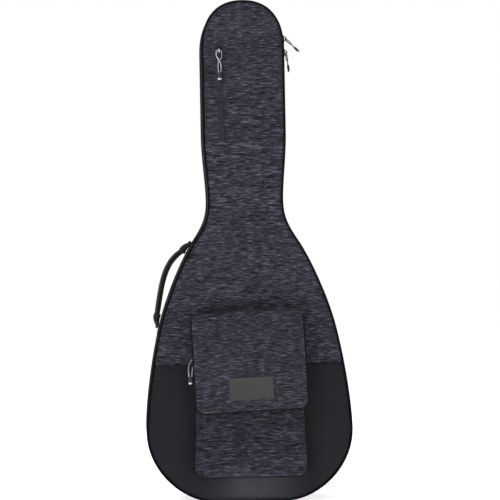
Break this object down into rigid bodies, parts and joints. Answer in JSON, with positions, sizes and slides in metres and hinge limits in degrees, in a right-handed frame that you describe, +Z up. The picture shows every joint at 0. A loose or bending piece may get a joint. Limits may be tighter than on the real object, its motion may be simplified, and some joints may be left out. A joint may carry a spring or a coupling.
{
  "type": "padded guitar gig bag",
  "caption": "Padded acoustic guitar gig bag with a zipped lid, flap pocket, neck pocket, side and back handles and shoulder straps.",
  "frame": {"origin": "middle of the flat base, under the centre of the bag", "axes": "+Z up along the bag from base to head, -Y out of the front with the pocket, +X to the right seen from the front"},
  "size_m": [0.46, 0.2568, 1.12],
  "materials": {
    "melange_fabric": "woven melange, slightly shiny slubs",
    "coated_fabric": "smooth coated fabric, satin",
    "webbing": "ribbed nylon webbing",
    "foam": "closed-cell foam board",
    "plush_lining": "short plush",
    "strap_mesh": "spacer mesh over foam",
    "zip_tape": "coated zip tape with coil teeth",
    "zip_metal": "plated slider",
    "dark_metal": "dark plated wire",
    "pull_cord": "braided cord with pale flecks",
    "grip_rubber": "moulded rubber",
    "label_rubber": "matt moulded rubber",
    "buckle_plastic": "moulded plastic"
  },
  "bodies": {
    "root": {"rear_gusset": "coated_fabric", "back_panel": "coated_fabric", "hinge_panel": "coated_fabric", "strap_yoke": "coated_fabric", "back_foam": "foam", "side_foam": "foam", "rear_lining": "plush_lining", "neck_cradle": "plush_lining", "tail_block": "plush_lining", "rear_zip_tape": "zip_tape", "neck_strap": "webbing", "side_handle_tab_low": "webbing", "side_handle_tab_top": "webbing", "back_handle_tab_low": "webbing", "back_handle_tab_top": "webbing", "strap_tab_left": "webbing", "strap_tab_right": "webbing", "strap_ring_left": "dark_metal", "strap_ring_right": "dark_metal"},
    "lid": {"lid_gusset": "coated_fabric", "lid_panel_lower": "coated_fabric", "pocket_gusset": "coated_fabric", "lid_panel_upper": "melange_fabric", "pocket_face_lower": "melange_fabric", "pocket_face_upper": "melange_fabric", "lid_foam": "foam", "lid_side_foam": "foam", "lid_lining": "plush_lining", "lid_side_lining": "plush_lining", "neck_pocket_pouch": "plush_lining", "lid_zip_tape": "zip_tape", "neck_pocket_zip_tape": "zip_tape", "pocket_zip_tape": "zip_tape", "flap_binding": "webbing", "pocket_loop_patch": "webbing"},
    "pocket_flap": {"pocket_flap": "melange_fabric", "label_patch": "label_rubber", "flap_hook_patch": "webbing"},
    "main_upper_slider": {"main_upper_slider": "zip_metal"},
    "main_upper_pull": {"main_upper_cord": "pull_cord", "main_upper_grip": "grip_rubber"},
    "main_lower_slider": {"main_lower_slider": "zip_metal"},
    "main_lower_pull": {"main_lower_cord": "pull_cord", "main_lower_grip": "grip_rubber"},
    "neck_pocket_slider": {"neck_pocket_slider": "zip_metal"},
    "neck_pocket_pull": {"neck_pocket_cord": "pull_cord", "neck_pocket_grip": "grip_rubber"},
    "pocket_slider": {"pocket_slider": "zip_metal"},
    "pocket_pull": {"pocket_cord": "pull_cord", "pocket_grip": "grip_rubber"},
    "side_handle": {"side_handle_grip": "webbing"},
    "back_handle": {"back_handle_grip": "webbing"},
    "left_strap": {"shoulder_pad_left": "strap_mesh", "strap_webbing_left": "webbing", "strap_hook_left": "dark_metal"},
    "left_adjuster": {"strap_adjuster_left": "buckle_plastic"},
    "right_strap": {"shoulder_pad_right": "strap_mesh", "strap_webbing_right": "webbing", "strap_hook_right": "dark_metal"},
    "right_adjuster": {"strap_adjuster_right": "buckle_plastic"}
  },
  "joints": [
    {"name": "lid_hinge", "type": "hinge", "parent": "root", "child": "lid", "pos_m": [-0.2325, -0.02, 0.2], "axis": [0, 0, -1], "range_deg": [0, 150]},
    {"name": "flap_hinge", "type": "hinge", "parent": "lid", "child": "pocket_flap", "pos_m": [0, -0.12319, 0.424], "axis": [-1, 0, 0], "range_deg": [0, 160]},
    {"name": "main_upper_slide", "type": "slide", "parent": "root", "child": "main_upper_slider", "axis": [-0.1301, 0, 0.9915], "range_m": [0, 0.02]},
    {"name": "main_upper_pull_swing", "type": "hinge", "parent": "main_upper_slider", "child": "main_upper_pull", "pos_m": [0.09689, -0.02, 1.03462], "axis": [0, -1, 0], "range_deg": [-20, 82]},
    {"name": "main_lower_slide", "type": "slide", "parent": "root", "child": "main_lower_slider", "axis": [0, 0, -1], "range_m": [0, 0.2]},
    {"name": "main_lower_pull_swing", "type": "hinge", "parent": "main_lower_slider", "child": "main_lower_pull", "pos_m": [0.0984, -0.02, 1.00303], "axis": [0, -1, 0], "range_deg": [-5, 28]},
    {"name": "neck_pocket_slide", "type": "slide", "parent": "lid", "child": "neck_pocket_slider", "axis": [0.018, -0.03, -0.9994], "range_m": [0, 0.19]},
    {"name": "neck_pocket_pull_swing", "type": "hinge", "parent": "neck_pocket_slider", "child": "neck_pocket_pull", "pos_m": [-0.05325, -0.05659, 1.007], "axis": [-1, 0, 0], "range_deg": [-1, 150]},
    {"name": "pocket_slide", "type": "slide", "parent": "lid", "child": "pocket_slider", "axis": [1, 0, 0], "range_m": [0, 0.208]},
    {"name": "pocket_pull_swing", "type": "hinge", "parent": "pocket_slider", "child": "pocket_pull", "pos_m": [-0.104, -0.11566, 0.318], "axis": [0, 0.03, 0.9996], "range_deg": [0, 10]},
    {"name": "side_handle_swing", "type": "hinge", "parent": "root", "child": "side_handle", "pos_m": [-0.20173, 0.028, 0.41457], "axis": [0.3808, 0, 0.9246], "range_deg": [-80, 80]},
    {"name": "back_handle_swing", "type": "hinge", "parent": "root", "child": "back_handle", "pos_m": [0, 0.092, 0.89], "axis": [0, 0, 1], "range_deg": [-80, 80]},
    {"name": "left_strap_swing", "type": "hinge", "parent": "root", "child": "left_strap", "pos_m": [-0.042, 0.0915, 0.66], "axis": [1, 0, 0], "range_deg": [0, 120]},
    {"name": "left_adjuster_slide", "type": "slide", "parent": "left_strap", "child": "left_adjuster", "axis": [-0.2925, -0.0056, -0.9562], "range_m": [-0.022, 0.085]},
    {"name": "right_strap_swing", "type": "hinge", "parent": "root", "child": "right_strap", "pos_m": [0.042, 0.0915, 0.66], "axis": [1, 0, 0], "range_deg": [0, 120]},
    {"name": "right_adjuster_slide", "type": "slide", "parent": "right_strap", "child": "right_adjuster", "axis": [0.2925, -0.0056, -0.9562], "range_m": [-0.022, 0.085]}
  ]
}
